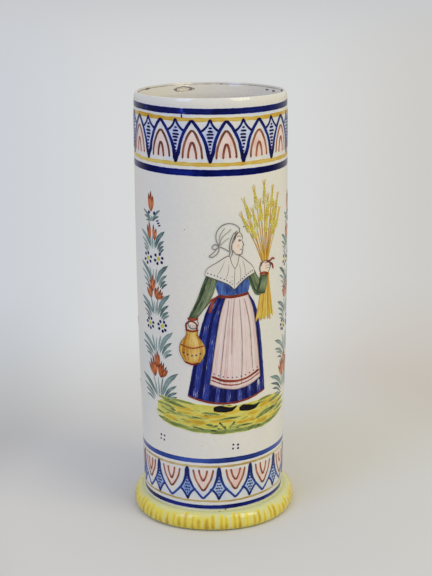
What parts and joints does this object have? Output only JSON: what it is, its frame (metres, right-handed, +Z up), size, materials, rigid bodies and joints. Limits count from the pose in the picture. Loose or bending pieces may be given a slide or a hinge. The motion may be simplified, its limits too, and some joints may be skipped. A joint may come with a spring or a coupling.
{
  "type": "earthenware vase",
  "caption": "Tall straight earthenware vase with a tubular wall, slightly swollen above and narrower below, a rounded lip and a thick rolled foot; holds cut flowers or stems.",
  "frame": {"origin": "centre of the standing face, at the base of the foot", "axes": "+Z up along the vase's axis; the painted figure faces -Y"},
  "size_m": [0.116, 0.116, 0.3],
  "materials": {
    "tin_glaze": "glossy off-white tin glaze, painted by hand in blue, yellow, rust, green and pink",
    "inside_glaze": "glossy cream glaze over buff clay, bare clay underneath",
    "yellow_glaze": "glossy pale yellow glaze with ochre brush strokes"
  },
  "bodies": {
    "root": {"wall": "tin_glaze", "floor": "inside_glaze", "foot_ring": "yellow_glaze"}
  },
  "joints": []
}
